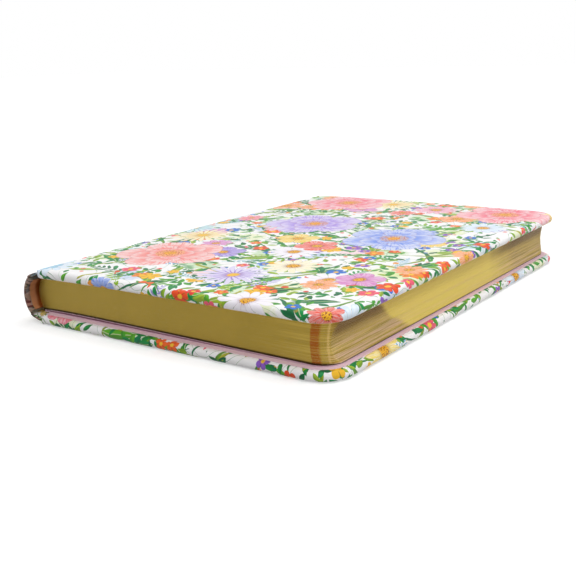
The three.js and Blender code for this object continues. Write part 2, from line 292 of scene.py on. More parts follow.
def run_tree(piece, tree, names, **values):
    """Gives a piece the mesh that a tree makes of it, and leaves no modifier on it."""
    modifier = piece.modifiers.new("made", "NODES")
    modifier.node_group = tree
    for name, value in values.items():
        modifier[names[name.replace("_", " ").capitalize()]] = value
    graph = bpy.context.evaluated_depsgraph_get()
    mesh = bpy.data.meshes.new_from_object(
        piece.evaluated_get(graph), preserve_all_data_layers=True, depsgraph=graph)
    piece.modifiers.clear()
    piece.data = mesh
    smooth(mesh)


def outline(width, half_length, corner, places, corner_steps):
    """Tail, fore edge and head of a sheet: points, each with the direction out of the sheet."""
    side = [(x, -half_length, 0.0, -1.0) for x in places]
    for k in range(1, corner_steps + 1):
        turn = k / corner_steps * math.pi / 2
        nx, ny = math.sin(turn), -math.cos(turn)
        side.append((width - corner + corner * nx, -half_length + corner + corner * ny, nx, ny))
    return side + [(x, -y, nx, -ny) for x, y, nx, ny in reversed(side)]


def across(first, count, flip=False):
    """Faces between the two halves of an outline, point k to point count - 1 - k."""
    rows = [(first + k, first + count - 1 - k, first + count - 2 - k, first + k + 1)
            for k in range(count // 2 - 1)]
    return [row[::-1] for row in rows] if flip else rows


def leaf_outline(first_columns, columns, corner_steps):
    """Outline of a leaf, with its columns closer together where it bends at the gutter."""
    bend = np.linspace(GUTTER_START, GUTTER_END, GUTTER_COLUMNS)
    places = [*first_columns, *bend, *columns, LEAF_WIDTH - LEAF_CORNER]
    return outline(LEAF_WIDTH, LEAF_HALF_LENGTH, LEAF_CORNER, places, corner_steps)


def plate_faces(count):
    """Faces of a flat sheet with count points in each outline: both sides, then the cut edges."""
    walls = [(k, (k + 1) % count, (k + 1) % count + count, k + count) for k in range(count)]
    return across(0, count, True) + across(count, count) + walls


def leaf_mesh():
    """One flat leaf, its three free edges marked for gilding."""
    line = leaf_outline(BACK_COLUMNS, LEAF_COLUMNS, LEAF_CORNER_STEPS)
    heights = (0, LEAF_PITCH - LEAF_GAP)
    points = [(x - SPINE_LINE, y, z) for z in heights for x, y, _, _ in line]
    faces = plate_faces(len(line))
    piece = new_piece("leaf", points, faces)
    gilt = piece.data.attributes.new("gilt", "FLOAT", "FACE")
    for k in range(len(faces) - len(line), len(faces) - 1):
        gilt.data[k].value = 1.0
    return piece


def lift_wire(nodes, x):
    """Height of the wedge of air below the leaves, at a distance from the spine line."""
    rise = 1 - nodes.math("EXPONENT", x * (-1 / LIFT_REACH))
    return rise * (1 - x / COVER_WIDTH) * LIFT_HEIGHT


def leaves_tree(material):
    """Repeats the leaf, shifts each a little, and gives the pile its rounded back and hollow
    fore edge."""
    kinds = {"Leaves": "Int", "Pitch": "Float", "First height": "Float", "Raggedness": "Float",
             "Seed": "Int"}
    nodes, given, names = new_tree("pile of leaves", kinds)
    start = nodes.join(0.0, 0.0, given["First height"])
    step = nodes.join(0.0, 0.0, given["Pitch"])
    sockets = {"Count": given["Leaves"], "Start Location": start, "Offset": step}
    line = nodes.add("GeometryNodeMeshLine", {"mode": "OFFSET"}, sockets)
    sockets = {"Points": line, "Instance": given["Geometry"]}
    pile = nodes.add("GeometryNodeInstanceOnPoints", None, sockets)
    real = nodes.add("GeometryNodeRealizeInstances", None, {0: pile})
    x, y, z = nodes.split(nodes.add("GeometryNodeInputPosition"))
    number = nodes.math("FLOOR", (z - given["First height"]) / given["Pitch"] + 0.01)
    dice = {"ID": number, "Seed": given["Seed"], "Min_001": -1.0, "Max_001": 1.0}
    shift = nodes.add("FunctionNodeRandomValue", {"data_type": "FLOAT"}, dice, "Value_001")
    height = (z - MID_HEIGHT) / LEAVES_HALF_HEIGHT
    bulge = height * height
    share = nodes.clamp((x - BACK_LINE) / (LEAF_WIDTH - LEAF_CORNER - BACK_LINE))
    fore_edge = LEAF_WIDTH - FORE_EDGE_HOLLOW * (1 - bulge)
    trimmed = nodes.math("MINIMUM", x + BACK_ROUNDING * bulge * (1 - share), fore_edge)
    shaped = trimmed + shift * given["Raggedness"]
    above = nodes.math("MAXIMUM", shaped, 0.0)
    sink = nodes.math("EXPONENT", above * (-1 / SETTLE_REACH)) * SETTLE_DEPTH
    lift = lift_wire(nodes, above)
    upper = nodes.clamp((z - COVER_THICKNESS) / (BOOK_THICKNESS - 2 * COVER_THICKNESS))
    place = nodes.join(shaped + SPINE_LINE, y, z - sink * upper + lift * (1 - upper))
    bent = nodes.add("GeometryNodeSetPosition", None, {"Geometry": real, "Position": place})
    where = nodes.add("GeometryNodeInputPosition")
    settings = {"data_type": "FLOAT_VECTOR", "domain": "POINT"}
    sockets = {"Geometry": bent, "Name": "rest", "Value": where}
    kept = nodes.add("GeometryNodeStoreNamedAttribute", settings, sockets)
    end_tree(nodes, kept, material)
    return nodes.tree, names


FINE_LINES = (14, 2600)
BROAD_LINES = (30, 900)
FORE_SIDE = (0.0844, 0.0790)
TAIL_LINES_START = (0.036, 0.056)
PAINTED_REFLECTION_START = (-0.030, -0.026)
PAINTED_REFLECTION_END = (0.070, 0.040)
UNDER_COVER_SHADE_START = (0.0105, 0.0150)
BARE_TOP = (0.0125, 0.0070)
FAR_PART = (0.020, 0.060)
CORNER_BOW = 0.45
COPPER_REFLECTION_START = (0.0, 0.06)
COPPER_REFLECTION_END = (0.52, 0.36)
CORNER_HIGHLIGHT_PLACE = 0.80
CORNER_HIGHLIGHT_WIDTH = (0.07, 0.03)
FOOT_SHADE_HEIGHT = (LEAVES_BOTTOM + 0.0008, LEAVES_BOTTOM + 0.0005)
FOOT_SHADE_DROP_AT_FORE_EDGE = 0.0004


def gilt_edged_paper():
    """Cream paper with gilt cut edges. The gold has fine lines along the leaves and bare streaks
    below. Light and shade are painted on it: a painted reflection as a bright field on the fore
    edge, painted shade on its upper part, a painted copper reflection and a painted highlight at
    the corners, and a painted shade line at the foot. Places are metres, or radians round a
    corner."""
    look = Finish("gilt_edged_paper")
    ease, mix, noise = look.ease, look.mix, look.noise
    rest = look.add("ShaderNodeAttribute", {"attribute_name": "rest"}, None, "Vector")
    gilt = look.add("ShaderNodeAttribute", {"attribute_name": "gilt"}, None, "Fac")
    x, y, z = look.split(rest)
    along = x + y
    fine = noise(look.join(along * FINE_LINES[0], z * FINE_LINES[1]), 1.0, 3.0, 0.7, "2D")
    broad = noise(look.join(along * BROAD_LINES[0], z * BROAD_LINES[1]), 1.0, 2.0, 0.5, "2D")
    cloud = noise(rest, 60.0, 3.0)
    speckle = noise(rest, 700.0, 2.0)
    side = ease(abs(y), *FORE_SIDE)
    lined = look.clamp(side + ease(x, *TAIL_LINES_START) * 0.45 + 0.05)
    gold = mix(ease(fine, 0.38, 0.64) * lined, "8f7931", "c6a954")
    gold = mix(ease(speckle, 0.4, 0.7) * 0.25, gold, "a68a38")
    gold = mix(ease(cloud, 0.35, 0.8) * 0.35, gold, "85702c")
    # Painted reflection: a bright field across the middle of the fore edge.
    near_border = ease(y + z * 1.5 + cloud * 0.01, *PAINTED_REFLECTION_START)
    painted_reflection = near_border * ease(y + cloud * 0.03, *PAINTED_REFLECTION_END) * side
    gold = mix(painted_reflection * 0.8, gold, "d6c058")
    # Painted shade on the upper part of the fore edge, under the front cover's overhang.
    upper = ease(z + fine * 0.002, *UNDER_COVER_SHADE_START) * side * (1 - painted_reflection * 0.8)
    gold = mix(upper * 0.9, gold, "634508")
    streaks = ease(fine * 0.7 + broad * 0.45, 0.55, 0.66)
    bare = streaks * side * (0.04 + 0.96 * ease(z, *BARE_TOP)) * (1 - painted_reflection * 0.75)
    bare = bare * (1 - ease(y, *FAR_PART) * 0.45)
    out = x - (SPINE_LINE + LEAF_WIDTH - LEAF_CORNER)
    turn = look.math("ARCTAN2", out, abs(y) - (LEAF_HALF_LENGTH - LEAF_CORNER))
    height = look.clamp((z - LEAVES_BOTTOM) / (2 * LEAVES_HALF_HEIGHT))
    turn = turn + height * (1 - height) * CORNER_BOW - 0.06
    # Painted reflection: a copper band round each rounded corner.
    painted_copper_reflection = ease(turn, *COPPER_REFLECTION_START) * ease(turn, *COPPER_REFLECTION_END)
    gold = mix(painted_copper_reflection * (0.6 + 0.35 * ease(fine, 0.6, 0.45)), gold, "8a4a14")
    # Painted highlight: a pale line down each rounded corner.
    gold = mix(ease(abs(turn - CORNER_HIGHLIGHT_PLACE), *CORNER_HIGHLIGHT_WIDTH) * 0.35, gold, "d9b878")
    edge = mix(bare * 0.85, gold, "d3ae8c")
    # Painted shade: a dark line along the foot of the gilt, where the leaves stand over the wedge
    # of air.
    lift = lift_wire(look, x - SPINE_LINE)
    painted_foot_shade = ease(z - lift + side * FOOT_SHADE_DROP_AT_FORE_EDGE, *FOOT_SHADE_HEIGHT)
    edge = mix(painted_foot_shade * 0.92, edge, "241206")
    fibre = noise(rest, 900.0, 3.0)
    cream = mix(fibre, "f4ecd8", "efe4c9")
    look.set(base_color=mix(gilt, cream, edge), metallic=gilt * (1 - bare * 0.7) * 0.9)
    look.set(roughness=0.75 - gilt * (0.36 - fine * 0.12 * lined))
    look.bump((fine + broad * 0.5) * lined, 0.00002, 0.5)
    return look.material


leaf = leaf_mesh()
pile_of_leaves, pile_inputs = leaves_tree(gilt_edged_paper())
for number in range(1, SECTIONS + 1):
    name = f"section_{number:02d}"
    section = new_object(name + "_paper", leaf.data)
    bottom = LEAVES_BOTTOM + (number - 1) * SECTION_PITCH + LEAF_GAP / 2
    run_tree(section, pile_of_leaves, pile_inputs, leaves=LEAVES_IN_SECTION, pitch=LEAF_PITCH,
             first_height=bottom, raggedness=LEAF_RAGGEDNESS, seed=number)
    if number < FIRST_TURNING_SECTION:
        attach(section, "text_block_and_spine")
        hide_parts(name)
    else:
        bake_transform(section)
        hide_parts(name + "_fold", name + "_leaves")
bpy.data.objects.remove(leaf)


# Sewing: one waxed linen thread links the sections, up one station and down the
# next, along the rounded back.

THREAD_RADIUS = 0.0002
THREAD_CLEARANCE = 0.0001
STATIONS = 4
STATION_PITCH = 0.040
THREAD_BEND = 0.002
STATION_STEPS = 12
THREAD_STEP = 0.0003
THREAD_TURNS_PER_METRE = 900.0
PLIES = 2
PLY_SIDES = 6


def behind_back(z, distance):
    """A point behind the rounded back at height z, at a distance square to it."""
    height = (z - MID_HEIGHT) / LEAVES_HALF_HEIGHT
    slope = 2 * BACK_ROUNDING * height / LEAVES_HALF_HEIGHT
    length = math.hypot(1, slope)
    x = BACK_LINE + BACK_ROUNDING * height ** 2 - distance / length
    return x, z + distance * slope / length


def thread_tree(material):
    """Two plies wound round a path."""
    kinds = {"Ply radius": "Float", "Turns per metre": "Float", "Step": "Float"}
    nodes, given, names = new_tree("two-ply thread", kinds)
    path = nodes.add("GeometryNodeMeshToCurve", None, {0: given["Geometry"]})
    sockets = {0: path, "Length": given["Step"]}
    fine = nodes.add("GeometryNodeResampleCurve", {"mode": "LENGTH"}, sockets)
    sockets = {"Resolution": PLY_SIDES, "Radius": given["Ply radius"]}
    ring = nodes.add("GeometryNodeCurvePrimitiveCircle", None, sockets)
    length = nodes.add("GeometryNodeSplineParameter", None, None, "Length")
    side = nodes.add("GeometryNodeInputNormal")
    tangent = nodes.add("GeometryNodeInputTangent")
    other = nodes.vector("CROSS_PRODUCT", tangent, side)
    both = nodes.add("GeometryNodeJoinGeometry")

    def scaled(vector, scale):
        sockets = {0: vector, "Scale": scale}
        return nodes.add("ShaderNodeVectorMath", {"operation": "SCALE"}, sockets)

    for ply in range(PLIES):
        turn = length * given["Turns per metre"] * (2 * math.pi) + (2 * math.pi / PLIES) * ply
        a = scaled(side, nodes.math("COSINE", turn))
        b = scaled(other, nodes.math("SINE", turn))
        out = scaled(nodes.vector("ADD", a, b), given["Ply radius"])
        wound = nodes.add("GeometryNodeSetPosition", None, {"Geometry": fine, "Offset": out})
        sockets = {"Curve": wound, "Profile Curve": ring, "Fill Caps": True}
        ply_mesh = nodes.add("GeometryNodeCurveToMesh", None, sockets)
        nodes.tree.links.new(ply_mesh.socket, both.socket.node.inputs[0])
    end_tree(nodes, both, material)
    return nodes.tree, names


stations = []
reach = LEAVES_HALF_HEIGHT - SECTION_PITCH / 2
for station in range(STATIONS):
    y = (station - (STATIONS - 1) / 2) * STATION_PITCH
    up = 1 if station % 2 == 0 else -1
    stations.append((y - THREAD_BEND, -up * reach))
    stations += [(y, up * reach * (2 * k / STATION_STEPS - 1)) for k in range(1, STATION_STEPS)]
    stations.append((y + THREAD_BEND, up * reach))
path_mesh = bpy.data.meshes.new("sewing_path")
path_points = []
for y, height in stations:
    x, z = behind_back(MID_HEIGHT + height, THREAD_CLEARANCE + THREAD_RADIUS)
    path_points.append((x + SPINE_LINE, y, settled(x, z)))
path_mesh.from_pydata(path_points, [(k, k + 1) for k in range(len(path_points) - 1)], [])
thread = new_object("sewing_thread_plies", path_mesh)
linen = fibrous("linen_thread", (4000.0, 3.0), ("f4efdf", "d9cfb4"), 0.7, 0.00003)[0]
two_ply, two_ply_inputs = thread_tree(linen.material)
run_tree(thread, two_ply, two_ply_inputs, ply_radius=THREAD_RADIUS / PLIES,
         turns_per_metre=THREAD_TURNS_PER_METRE, step=THREAD_STEP)
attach(thread, "text_block_and_spine")
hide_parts("sewing_thread")


# Mull and lining: open starched cotton glued on the sewn back, with a flange on
# each board, and a strip of brown kraft paper over it.

WEAVE = 4200


def dress(node, material):
    """Gives a CAD node a material."""
    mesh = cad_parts[node].data
    mesh.materials.clear()
    mesh.materials.append(material)


def mull_cloth():
    look = Finish("mull_cloth")
    x, y, z = look.split(look.object_place())
    warp = abs(look.math("SINE", (x + z) * WEAVE))
    weft = abs(look.math("SINE", y * WEAVE))
    thread_height = look.math("MAXIMUM", warp, weft)
    tone = look.mix(thread_height, "b9ac8d", "ece6d4")
    look.set(base_color=tone, roughness=0.9)
    look.bump(thread_height, 0.0001)
    return look.material


cloth = mull_cloth()
for node in ("mull", "front_mull_flange", "back_mull_flange"):
    dress(node, cloth)
kraft = fibrous("kraft_paper", (700.0, 4.0, 0.7), ("8a6a44", "c09c6c"), 0.85, 0.00003)[0]
dress("spine_lining", kraft.material)


# Boards and spine card: grey millboard with nosed edges, seen only at the cut
# edges in the joints.

board, place, _, grey = fibrous(
    "greyboard", (1500.0, 4.0, 0.7), ("857b6d", "a89e8e"), 0.9, 0.00004)
layer = board.noise(board.vector("MULTIPLY", place, (40.0, 40.0, 5000.0)), 1.0)
board.set(base_color=board.mix(layer * 0.4, grey, "6f665a"))
for node in ("front_board", "back_board", "spine_card"):
    dress(node, board.material)


# Printed paper: one glossy sheet that covers both boards, the joints and the
# spine, and is turned in over their edges. Flowers and leaves in watercolour
# run across it in every direction. Its own flat coordinates are in centimetres.

HALF_LENGTH = 0.089
COVER_CORNER = 0.0105
WRAPPED_THICKNESS = 0.0033
WRAP_THICKNESS = 0.00035
TURN_IN_WIDTH = 0.015
JOINT_WIDTH = 0.0071
GROOVE_DEPTH = 0.0011
SPINE_DEPTH = 0.0055
SPINE_CENTRE = 0.0037
SPINE_HALF_HEIGHT = 0.0084
SPINE_HALF_ANGLE = math.radians(60)
SPINE_THICKNESS = 0.0022
SPINE_EDGE_ANGLE = math.radians(83)
SPINE_STEPS = 36
SPINE_END_STEPS = 10
COVER_COLUMNS = 26
COLUMN_SPREAD = 1.6
COVER_CORNER_STEPS = 16
NOSE_STEPS = 18
WINDOW_CORNER = 0.001
GROOVE_POINTS = ((0.0019, 0.00015), (0.0006, 0.0))
BOARD_EDGE_STEP = 0.000075
STRIP_COLUMNS = 9

GREENS = ("1f8a3c", "4aa32e", "0f7a4a", "8cb52a", "1c9048", "5fae2c", "0e6a3c", "a3c23a")
OLIVES = ("93a82a", "4f9a2c", "2a8440", "b9b83c", "1f7346", "6fa030")
FLORETS = ("ea5228", "f08a30", "e23d35", "2f74cf", "f3be2e", "8f5fc4", "ee5f78", "f2692f")
BLOOMS = ("f27f93", "7d9be8", "f59a4e", "ea5a45", "d884c4", "86c6e2", "f2cf4a", "9f86d8")
WASHES = ("b8e2ea", "cfe9b8", "fbcfd6", "e9f2b8", "b9dda4", "c0d2f6")
BLUE_LEAVES = ("8fc0d8", "7fb8c4", "a9a3dc", "8fb8e8")
BERRIES = ("e2432f", "ee6a3a", "f0a040", "5b86d8")
DAISIES = ("fbe27a", "f8f3fb", "f2a9c0", "dcecfa", "fdf3d0", "c9b6ee")
NARROW_PETALS = ("7fc4e0", "f0563a", "f7d348", "a98be0", "8fd0d8", "f28aa0")
LARGE_BLOOMS = ("f0506e", "f0843c", "5f86e6", "f0b93a", "9f7ae0", "f2736a")
INK = "1d3f2c"


def watercolour():
    """Gloss paper printed with leaves, grasses and open flowers, each drawn from its own small
    rule, on a sheet with coordinates in centimetres. The layers are painted in turn. Painted
    shade darkens the spine's turned ends and the hollow behind them."""
    look = Finish("printed_paper")
    ease, mix, noise = look.ease, look.mix, look.noise
    sheet = look.add("ShaderNodeUVMap", {"uv_map": "sheet"})
    wobble = look.add("ShaderNodeTexNoise", {"noise_dimensions": "2D"},
                      {"Vector": sheet, "Scale": 1.3, "Detail": 3.0, "Roughness": 0.4}, "Color")
    wobble = look.vector("SUBTRACT", wobble, (0.5, 0.5, 0.5))
    wobble = look.vector("MULTIPLY", wobble, (0.2, 0.2, 0.0))
    drawn = look.vector("ADD", sheet, wobble)
    grain = noise(sheet, 24.0, 3.0, 0.65, "2D")
    pool = noise(sheet, 4.5, 3.0, 0.6, "2D")
    meadow = noise(sheet, 0.42, 1.0, 0.5, "2D")

    def bled(ground):
        """The sheet under the brush: the paint below draws a stroke aside by a hair, as wet
        paint does. It also makes Cycles work out the layers one after the other, which its
        stack needs: with all of them open at once the paper turns black."""
        return look.vector("ADD", drawn, look.vector("MULTIPLY", ground, (0.004, 0.004, 0.0)))

    def turned(vector, angle):
        sockets = {"Vector": vector, "Angle": angle}
        return look.add("ShaderNodeVectorRotate", {"rotation_type": "Z_AXIS"}, sockets)

    def scatter(ground, pitch, shift, jitter=0.75, turn=0.0, spread=2 * math.pi):
        """Places one motif in each cell of a grid: its own x and y, and three random numbers."""
        wide, high = pitch
        moved = look.vector("ADD", turned(bled(ground), turn), (*shift, 0.0))
        cells = look.vector("MULTIPLY", moved, (1 / wide, 1 / high, 0.0))
        settings = {"voronoi_dimensions": "2D", "feature": "F1"}
        sockets = {"Vector": cells, "Scale": 1.0, "Randomness": jitter}
        centre = look.add("ShaderNodeTexVoronoi", settings, sockets, "Position")
        dice = look.split(centre.other("Color"))
        local = look.vector("MULTIPLY", look.vector("SUBTRACT", cells, centre), (wide, high, 0.0))
        x, y, _ = look.split(turned(local, (dice[0] - 0.5) * spread))
        return x, y, dice

    def pick(share, names):
        """One of the named colours, by a random share."""
        stops = [(k / len(names), colour(name)) for k, name in enumerate(names)]
        settings = {"stops": stops, "interpolation": "CONSTANT"}
        return look.add("ShaderNodeValToRGB", settings, {"Fac": share})

    def paint(ground, pigment, shape, strength=1.0, way="MIX"):
        """A stroke of paint, thinner and thicker in pools."""
        return mix(look.clamp(shape * (0.72 + 0.42 * pool) * strength), ground, pigment, way)

    def distance(x, y):
        return look.math("SQRT", x * x + y * y)

    def blade(x, y, length, width, bend=0.0):
        """A pointed leaf along x: its shape, and the side of its middle rib."""
        run = x / length
        middle = y + x * x * bend
        wide = (1 - run * run) * (1 + run * 0.3) * width
        return ease(abs(middle) - wide, 0.012, -0.006) * (abs(run) < 1), middle

    def foliage(ground, place, names, length, width, bend, shown, strength=1.15, rib=0.0):
        """Leaves in two tones, with a pale rib where they are broad."""
        x, y, dice = place
        shape, middle = blade(x, y, length, width, bend)
        pigment = mix((middle > 0.0) * 0.32, pick(dice[1], names), INK)
        ground = paint(ground, pigment, shape * shown, strength)
        if rib:
            line = ease(abs(middle), rib, rib * 0.3) * shape * shown
            ground = mix(line * 0.75, ground, "d9e3ae")
        return ground

    def petals(x, y, number, radius, depth, sharp=0.5):
        """Distance inside a ring of petals, above 0 within them, and how near a petal's middle."""
        angle = look.math("ARCTAN2", y, x)
        lobe = abs(look.math("COSINE", angle * (number / 2)))
        return radius * (1 - depth + depth * lobe ** sharp) - distance(x, y), lobe

    ground = mix(grain * 0.4, "fcfbfb", "f4f2f4")

    # Washes of thin colour.
    for pitch, shift in (((3.6, 2.6), (1.3, 7.7)), ((2.4, 3.2), (5.1, 2.2))):
        x, y, dice = scatter(ground, pitch, shift, 0.9)
        patch = ease(distance(x, y * 1.3) + pool * 0.7, 1.2, 0.9)
        ground = paint(ground, pick(dice[1], WASHES), patch * (dice[2] > 0.35), 0.7, "MULTIPLY")

    # Vines.
    vine = noise(sheet, 0.55, 1.0, 0.4, "2D")
    ground = mix(ease(abs(vine - 0.47), 0.0045, 0.002) * 0.6, ground, "5c9a4a")
    ground = mix(ease(abs(vine - 0.58), 0.0045, 0.002) * 0.6, ground, "3d8a5a")

    # Grasses, which lean one way.
    for turn, shift, pitch, length, width, bend in (
            (0.5, (3.3, 1.9), (3.6, 1.0), 1.5, 0.075, 0.12),
            (-0.7, (8.8, 4.1), (3.0, 1.1), 1.2, 0.06, -0.16),
            (1.9, (2.6, 6.4), (2.6, 0.9), 1.1, 0.065, 0.2)):
        place = scatter(ground, pitch, shift, 0.8, turn, 0.7)
        ground = foliage(ground, place, OLIVES, length, width, bend, place[2][2] > 0.5)

    def sprig(x, y, length, spacing, leaf_length, leaf_width):
        """A stem along x with pairs of slanting leaves that grow smaller to the tip."""
        out = abs(y)
        slid = x - out * 0.8
        place = look.math("ROUND", slid / spacing)
        taper = look.clamp(1 - abs(place) * (spacing / length))
        share = look.clamp(out / (leaf_length * taper + 0.001))
        wide = look.math("SINE", share * math.pi) * leaf_width
        shape = ease(abs(slid - place * spacing) - wide, 0.01, -0.006) * (share < 0.99)
        stem = ease(out, 0.02, 0.008)
        return look.math("MAXIMUM", shape, stem) * (abs(x) < length)

    for pitch, shift, names, length, spacing, reach, wide in (
            ((2.9, 2.9), (2.1, 9.4), GREENS, 1.05, 0.26, 0.36, 0.085),
            ((2.4, 2.4), (6.6, 3.0), GREENS, 0.85, 0.2, 0.27, 0.06),
            ((2.6, 2.6), (9.9, 5.2), BLUE_LEAVES, 0.9, 0.17, 0.3, 0.045)):
        x, y, dice = scatter(ground, pitch, shift)
        shape = sprig(x, y, length, spacing, reach, wide) * (dice[2] > 0.4)
        ground = paint(ground, pick(dice[1], names), shape, 1.15)

    # Broad leaves with a pale rib.
    for pitch, shift, length, width in (
            ((2.5, 1.7), (4.4, 8.2), 0.75, 0.2),
            ((2.1, 2.1), (7.7, 1.3), 0.6, 0.15)):
        place = scatter(ground, pitch, shift)
        ground = foliage(ground, place, GREENS, length, width, 0.12, place[2][2] > 0.48, 1.2, 0.022)

    # Small leaves, thick in some parts of the meadow, with berries in the others.
    dense = ease(meadow, 0.44, 0.52)
    for pitch, shift, length, width in (
            ((0.52, 0.52), (1.7, 5.5), 0.23, 0.085),
            ((0.66, 0.66), (4.9, 0.7), 0.28, 0.1),
            ((0.46, 0.46), (3.7, 9.1), 0.2, 0.075)):
        place = scatter(ground, pitch, shift, 0.6)
        shown = (place[2][2] > 0.8 - dense * 0.55)
        ground = foliage(ground, place, GREENS, length, width, 0.2, shown, 1.3)

    for pitch, shift, radius in (((0.5, 0.5), (2.2, 4.1), 0.085), ((1.3, 1.3), (6.1, 8.3), 0.13)):
        x, y, dice = scatter(ground, pitch, shift, 0.8)
        shown = (dice[2] > 0.72) * ease(meadow, 0.52, 0.44)
        berry = ease(distance(x, y), radius, radius - 0.02) * shown
        ground = paint(ground, pick(dice[1], BERRIES), berry, 1.2)

    # Florets, closed round a yellow heart.
    for pitch, shift, radius, number, rate in (
            ((0.78, 0.78), (7.3, 2.6), 0.25, 5, 0.87),
            ((1.05, 1.05), (2.9, 3.8), 0.34, 5, 1.02),
            ((1.5, 1.5), (5.8, 6.9), 0.42, 6, 1.04)):
        x, y, dice = scatter(ground, pitch, shift)
        inside, lobe = petals(x, y, number, radius, 0.5)
        shown = dice[2] > rate - dense * 0.25
        shape = ease(inside, -0.008, 0.014) * shown
        pigment = mix(ease(lobe, 0.45, 0.1) * 0.5, pick(dice[1], FLORETS), "7c2320")
        ground = paint(ground, pigment, shape, 1.15)
        heart = ease(distance(x, y), radius * 0.32, radius * 0.2) * shown
        ground = mix(heart, ground, "f5c53a")

    # Open flowers: pale ground, streaks of the hue, ink between the petals, seeds in the heart.
    for pitch, shift, radius, number, depth, names in (
            ((3.1, 3.1), (9.1, 6.2), 0.95, 13, 0.5, DAISIES),
            ((3.7, 3.7), (0.4, 2.7), 0.85, 5, 0.38, BLOOMS),
            ((2.9, 2.9), (5.5, 0.9), 0.6, 9, 0.45, BLOOMS)):
        x, y, dice = scatter(ground, pitch, shift, 0.7)
        shown = dice[2] > 0.68
        inside, lobe = petals(x, y, number, radius, depth)
        out = distance(x, y)
        shape = ease(inside, -0.008, 0.014) * shown
        ray = look.join(look.math("ARCTAN2", y, x) * 6, out * 0.8)
        streak = noise(ray, 3.0, 2.0, 0.6, "2D")
        hue = pick(dice[1], names)
        ground = mix(shape, ground, mix(0.45, hue, WHITE))
        ground = paint(ground, hue, shape * ease(streak, 0.4, 0.56), 1.1)
        deep = mix(0.55, hue, "7a2a50")
        lines = ease(lobe, 0.16, 0.03) * shape + ease(inside, 0.035, 0.012) * shape * 0.5
        ground = mix(look.clamp(lines) * 0.75, ground, deep)
        flush = ease(out + streak * 0.3, radius * 0.62, radius * 0.34) * shape
        ground = paint(ground, deep, flush, 0.75)
        heart = ease(out, radius * 0.27, radius * 0.22) * shown
        ground = mix(heart, ground, "f2b62c")
        seeds = noise(sheet, 20.0, 1.0, 0.5, "2D")
        dark = ease(out, radius * 0.34, radius * 0.24) * ease(seeds, 0.55, 0.6) * shown
        ground = mix(dark, ground, "8a3a1c")

    # Flowers with many narrow petals.
    x, y, dice = scatter(ground, (4.9, 4.9), (8.2, 3.6), 0.8)
    shown = dice[2] > 0.52
    inside, lobe = petals(x, y, 19, 1.25, 0.55, 1.0)
    out = distance(x, y)
    shape = ease(inside + pool * 0.25, 0.11, 0.15) * shown
    hue = pick(dice[1], NARROW_PETALS)
    ground = mix(shape, ground, mix(0.6, hue, WHITE))
    ground = paint(ground, hue, shape * ease(lobe, 0.62, 0.3), 1.1)
    shade = mix(0.45, hue, "5a2a6a")
    ground = paint(ground, shade, shape * ease(lobe, 0.16, 0.05), 0.9)
    shade = mix(0.35, hue, "7a1c50")
    ground = paint(ground, shade, shape * ease(out + lobe * 0.2, 0.62, 0.3), 0.9)
    ground = mix(ease(out, 0.24, 0.16) * shown, ground, "f3c23c")

    # Large blooms: three rings of veined petals, each turned against the last, and stamens.
    x, y, dice = scatter(ground, (7.8, 7.8), (6.9, 0.9), 0.5)
    shown = dice[2] > 0.62
    hue = pick(dice[1], LARGE_BLOOMS)
    deep = mix(0.55, hue, "a01848")
    middle = distance(x, y)
    ray = look.join(look.math("ARCTAN2", y, x) * 8, middle * 0.5)
    veins = noise(ray, 3.0, 3.0, 0.65, "2D")
    for radius, number, depth in ((2.0, 5, 0.3), (1.45, 5, 0.3), (0.9, 5, 0.34)):
        x, y = x * 0.94 + y * 0.34, y * 0.94 - x * 0.34
        inside, lobe = petals(x, y, number, radius, depth)
        shape = ease(inside, -0.01, 0.014) * shown
        ground = mix(shape, ground, mix(0.62, hue, WHITE))
        inner = ease(inside + veins * 0.3, radius * 0.18, radius * 0.5)
        ground = paint(ground, hue, shape * inner, 0.8)
        ground = paint(ground, hue, shape * ease(veins, 0.5, 0.62), 0.85)
        lines = ease(lobe, 0.13, 0.02) * ease(inside, 0.0, 0.1)
        lines = lines + ease(inside, 0.05, 0.015) * 0.6
        ground = mix(look.clamp(lines * shape) * 0.7, ground, deep)
    ray = look.join(look.math("ARCTAN2", y, x) * 5, 0.0)
    rays = ease(noise(ray, 4.0, 1.0, 0.5, "2D"), 0.5, 0.55)
    ground = mix(ease(middle, 0.62, 0.5) * rays * shown, ground, "fbd873")
    ground = mix(ease(middle, 0.3, 0.22) * shown, ground, "f2b030")
    stamens = noise(sheet, 15.0, 1.0, 0.5, "2D")
    dots = ease(stamens, 0.56, 0.6) * ease(middle, 0.6, 0.5) * shown
    ground = mix(dots, ground, "c2531f")

    # The spine's turned ends at tail and head: a brown striped print there, darkened with painted
    # shade, then painted shade on the turn-in inside the spine and deeper painted shade in the
    # hollow behind.
    x, y, _ = look.split(bled(ground))
    x = x - (JOINT_WIDTH - JOINT_LENGTH - SPINE_LENGTH / 2) * 100
    y = abs(y) - HALF_LENGTH * 100
    # Brown stripes at the ends, partly print and partly painted shade.
    stripes = ease(noise(look.join(x * 1.3, y * 0.5), 3.0, 1.0, 0.5, "2D"), 0.44, 0.52)
    tone = mix(stripes, "3c2a25", "98766a")
    end = ease(y, -0.17, -0.07) * ease(abs(x), 1.5, 1.2)
    ground = mix(end * 0.92, ground, tone)
    # Painted shade: a warm brown on the turn-in inside the spine, and a deep brown in the hollow
    # behind it.
    within = ease(abs(x), 1.0, 0.95)
    ground = mix(ease(y, 0.26, 0.30) * within * 0.9, ground, "cc8a5e")
    ground = mix(ease(y, 0.44, 0.58) * within * 0.95, ground, "8a440a")

    look.set(base_color=ground, roughness=0.4 + grain * 0.1, specular_ior_level=0.2)
    look.bump(grain, 0.000006, 0.6)
    return look.material


def flat(side, z):
    """A height counted from the outside of the back cover, or of the front cover."""
    return BOOK_THICKNESS - z if side == "front" else z


